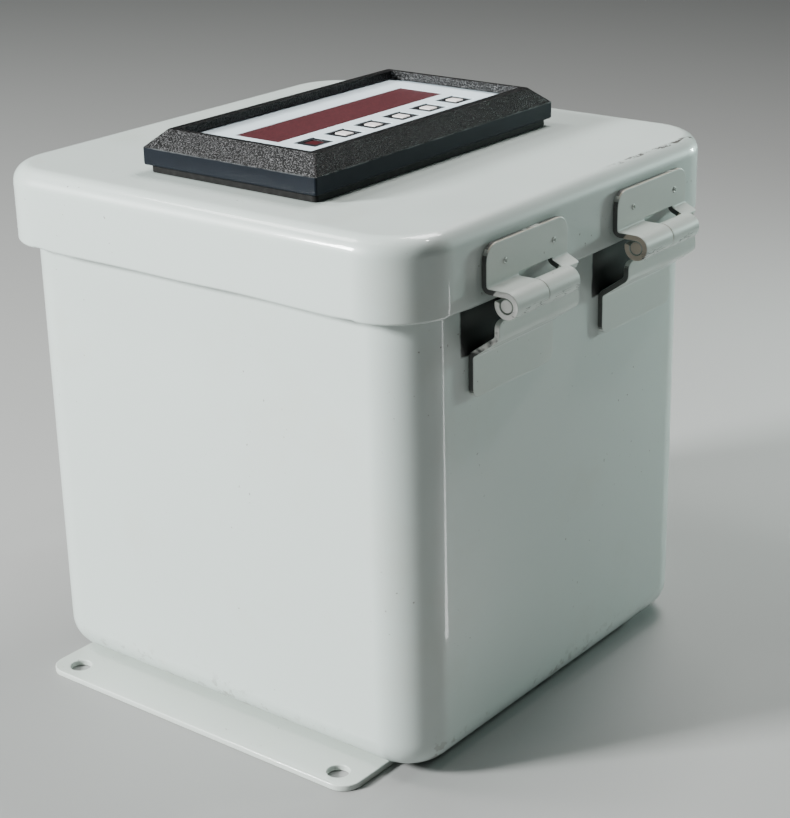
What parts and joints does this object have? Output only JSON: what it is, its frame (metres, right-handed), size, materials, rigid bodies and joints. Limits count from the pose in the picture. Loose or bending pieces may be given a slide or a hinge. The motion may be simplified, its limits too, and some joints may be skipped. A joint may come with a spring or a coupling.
{
  "type": "hinged control box with panel meter",
  "caption": "Painted steel box with rounded corners, a hinged overhanging lid carrying a digital panel meter with push keys, and flat mounting feet.",
  "frame": {"origin": "middle of the footprint, on the plane the mounting feet lie on", "axes": "+Z out through the lid, +X along the meter's reading direction, the lid's hinges on the -Y side"},
  "size_m": [0.2216, 0.2358, 0.2265],
  "materials": {
    "enclosure_paint": "light grey-green semi-gloss enamel",
    "bare_steel": "zinc plated steel",
    "panel_paint": "white enamel",
    "earth_green": "green dyed screw",
    "black_plastic": "textured black moulding",
    "black_rubber": "matt black rubber",
    "white_face": "satin white printed face",
    "red_window": "dark red filter",
    "key_white": "satin white key",
    "board_green": "solder mask",
    "module_dark": "display module",
    "led_red": "tinted epoxy",
    "transformer_iron": "varnished laminations",
    "connector_green": "connector moulding"
  },
  "bodies": {
    "enclosure": {"body_shell": "enclosure_paint", "mounting_foot_left": "enclosure_paint", "mounting_foot_right": "enclosure_paint", "body_leaf_1": "enclosure_paint", "body_leaf_2": "enclosure_paint", "hinge_pin_1": "enclosure_paint", "hinge_pin_2": "enclosure_paint", "clamp_block_1": "enclosure_paint", "clamp_block_2": "enclosure_paint", "clamp_screw_1": "bare_steel", "clamp_screw_2": "bare_steel", "gland_body": "black_plastic", "gland_cap": "black_plastic", "gland_seal": "black_rubber", "gland_locknut": "black_plastic", "back_panel": "panel_paint", "panel_nut_1": "bare_steel", "panel_nut_2": "bare_steel", "panel_nut_3": "bare_steel", "panel_nut_4": "bare_steel", "terminal_strip": "black_plastic", "ground_screw": "earth_green"},
    "lid": {"lid_shell": "enclosure_paint", "lid_gasket": "black_rubber", "lid_leaf_1": "enclosure_paint", "lid_leaf_2": "enclosure_paint", "keeper_1": "enclosure_paint", "keeper_2": "enclosure_paint", "bezel": "black_plastic", "bezel_gasket": "black_rubber", "face_plate": "white_face", "display_window": "red_window", "led_window": "red_window", "key_surround": "black_plastic", "meter_case": "black_plastic", "display_board": "board_green", "digit_module_1": "module_dark", "digit_module_2": "module_dark", "digit_module_3": "module_dark", "status_led": "led_red", "switch_1": "black_plastic", "switch_2": "black_plastic", "switch_3": "black_plastic", "switch_4": "black_plastic", "switch_5": "black_plastic", "main_board": "board_green", "power_transformer": "transformer_iron", "rear_terminals": "connector_green", "case_clamp_left": "bare_steel", "case_clamp_right": "bare_steel", "jack_screw_left": "bare_steel", "jack_screw_right": "bare_steel"},
    "clamp_left": {"clamp_arm_1": "bare_steel"},
    "clamp_right": {"clamp_arm_2": "bare_steel"},
    "key_1": {"key_1": "key_white"},
    "key_2": {"key_2": "key_white"},
    "key_3": {"key_3": "key_white"},
    "key_4": {"key_4": "key_white"},
    "key_5": {"key_5": "key_white"}
  },
  "joints": [
    {"name": "lid_hinge", "type": "hinge", "parent": "enclosure", "child": "lid", "pos_m": [0, -0.113, 0.1821], "axis": [1, 0, 0], "range_deg": [0, 180]},
    {"name": "clamp_left_swing", "type": "hinge", "parent": "enclosure", "child": "clamp_left", "pos_m": [-0.05, 0.10865, 0.155], "axis": [0, 1, 0], "range_deg": [0, 180]},
    {"name": "clamp_right_swing", "type": "hinge", "parent": "enclosure", "child": "clamp_right", "pos_m": [0.05, 0.10865, 0.155], "axis": [0, 1, 0], "range_deg": [0, 180]},
    {"name": "key_1_press", "type": "slide", "parent": "lid", "child": "key_1", "axis": [0, 0, -1], "range_m": [0, 0.0005], "stiffness_N_per_m": 1500},
    {"name": "key_2_press", "type": "slide", "parent": "lid", "child": "key_2", "axis": [0, 0, -1], "range_m": [0, 0.0005], "stiffness_N_per_m": 1500},
    {"name": "key_3_press", "type": "slide", "parent": "lid", "child": "key_3", "axis": [0, 0, -1], "range_m": [0, 0.0005], "stiffness_N_per_m": 1500},
    {"name": "key_4_press", "type": "slide", "parent": "lid", "child": "key_4", "axis": [0, 0, -1], "range_m": [0, 0.0005], "stiffness_N_per_m": 1500},
    {"name": "key_5_press", "type": "slide", "parent": "lid", "child": "key_5", "axis": [0, 0, -1], "range_m": [0, 0.0005], "stiffness_N_per_m": 1500}
  ]
}
